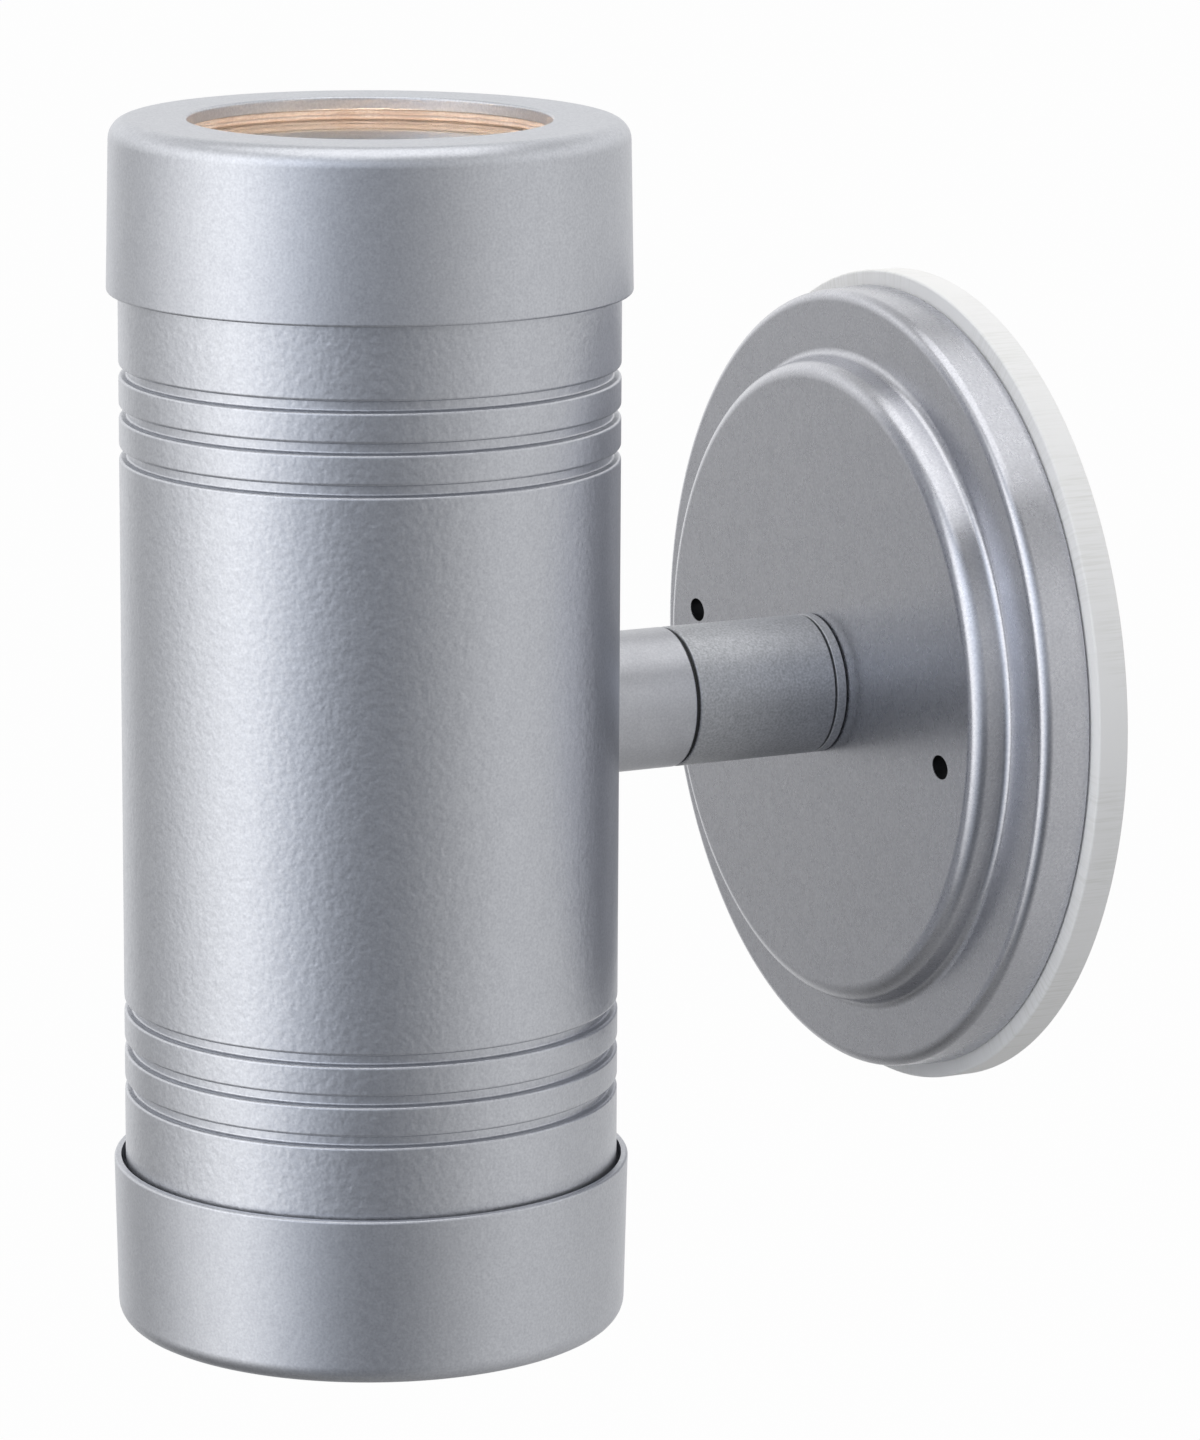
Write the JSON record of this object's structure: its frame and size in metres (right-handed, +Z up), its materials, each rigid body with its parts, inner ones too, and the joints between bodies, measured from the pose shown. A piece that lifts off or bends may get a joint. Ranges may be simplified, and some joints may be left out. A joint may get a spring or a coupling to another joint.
{
  "type": "wall washer light",
  "caption": "Cylindrical up and down wall light with screw caps, glass lenses and twist-lock lamps, on a swivel arm and a round stepped canopy.",
  "frame": {"origin": "centre of the wall gasket's back face, which lies on the wall", "axes": "+Y points into the wall and the arm runs out along -Y; +Z is up, along the cylindrical head"},
  "size_m": [0.127, 0.1337, 0.1836],
  "materials": {
    "head_paint": "satin silver-grey powder coat on die-cast aluminium",
    "arm_paint": "satin grey powder coat on turned aluminium",
    "canopy_paint": "satin silver-grey paint on spun steel sheet",
    "foam": "white closed-cell foam",
    "silicone": "translucent silicone",
    "black_seal": "black rubber",
    "zinc_steel": "zinc plated",
    "brass": "plain brass",
    "green_screw": "green dyed zinc",
    "ceramic": "unglazed steatite",
    "lens_glass": "clear tempered glass",
    "lamp_glass": "clear glass",
    "reflector": "coated faceted reflector"
  },
  "bodies": {
    "wall_base": {"canopy": "canopy_paint", "wall_gasket": "foam", "canopy_washer": "zinc_steel", "canopy_lock_nut": "zinc_steel", "ground_tab": "brass", "ground_screw": "green_screw", "arm_trim_ring": "arm_paint", "arm_collar": "arm_paint", "swivel_nipple": "brass", "swivel_seal": "black_seal", "stop_pin": "zinc_steel", "swivel_washer": "zinc_steel", "swivel_lock_nut": "zinc_steel"},
    "head": {"housing": "head_paint", "arm_stub": "head_paint", "arm_dowel": "zinc_steel", "top_socket_plate": "zinc_steel", "bottom_socket_plate": "zinc_steel", "socket_plate_screws": "zinc_steel", "top_lamp_holder": "ceramic", "bottom_lamp_holder": "ceramic", "lamp_holder_screws": "zinc_steel", "top_contacts": "brass", "bottom_contacts": "brass", "top_neck_seal": "black_seal", "bottom_neck_seal": "black_seal"},
    "top_lens_carrier": {"top_lens": "lens_glass", "top_lens_gasket": "silicone"},
    "bottom_lens_carrier": {"bottom_lens": "lens_glass", "bottom_lens_gasket": "silicone"},
    "top_cap": {"top_cap": "head_paint"},
    "bottom_cap": {"bottom_cap": "head_paint"},
    "top_lamp": {"top_lamp_reflector": "reflector", "top_lamp_glass": "lamp_glass", "top_lamp_capsule": "lamp_glass", "top_lamp_base": "ceramic", "top_lamp_pins": "zinc_steel"},
    "bottom_lamp": {"bottom_lamp_reflector": "reflector", "bottom_lamp_glass": "lamp_glass", "bottom_lamp_capsule": "lamp_glass", "bottom_lamp_base": "ceramic", "bottom_lamp_pins": "zinc_steel"}
  },
  "joints": [
    {"name": "head_swivel", "type": "hinge", "parent": "wall_base", "child": "head", "pos_m": [0, 0, 0], "axis": [0, 1, 0], "range_deg": [-170, 170]},
    {"name": "top_cap_rise", "type": "slide", "parent": "head", "child": "top_lens_carrier", "axis": [0, 0, 1], "range_m": [0, 0.0081]},
    {"name": "top_cap_unscrew", "type": "hinge", "parent": "top_lens_carrier", "child": "top_cap", "pos_m": [0, -0.09455, 0], "axis": [0, 0, 1], "range_deg": [0, 1440]},
    {"name": "bottom_cap_rise", "type": "slide", "parent": "head", "child": "bottom_lens_carrier", "axis": [0, 0, -1], "range_m": [0, 0.0081]},
    {"name": "bottom_cap_unscrew", "type": "hinge", "parent": "bottom_lens_carrier", "child": "bottom_cap", "pos_m": [0, -0.09455, 0], "axis": [0, 0, -1], "range_deg": [0, 1440]},
    {"name": "top_lamp_twist", "type": "hinge", "parent": "head", "child": "top_lamp", "pos_m": [0, -0.09455, 0], "axis": [0, 0, 1], "range_deg": [0, 40]},
    {"name": "bottom_lamp_twist", "type": "hinge", "parent": "head", "child": "bottom_lamp", "pos_m": [0, -0.09455, 0], "axis": [0, 0, -1], "range_deg": [0, 40]}
  ],
  "couplings": [
    {"joint": "top_cap_rise", "follows": "top_cap_unscrew", "m_per_rad": 0.00031831},
    {"joint": "bottom_cap_rise", "follows": "bottom_cap_unscrew", "m_per_rad": 0.00031831}
  ]
}
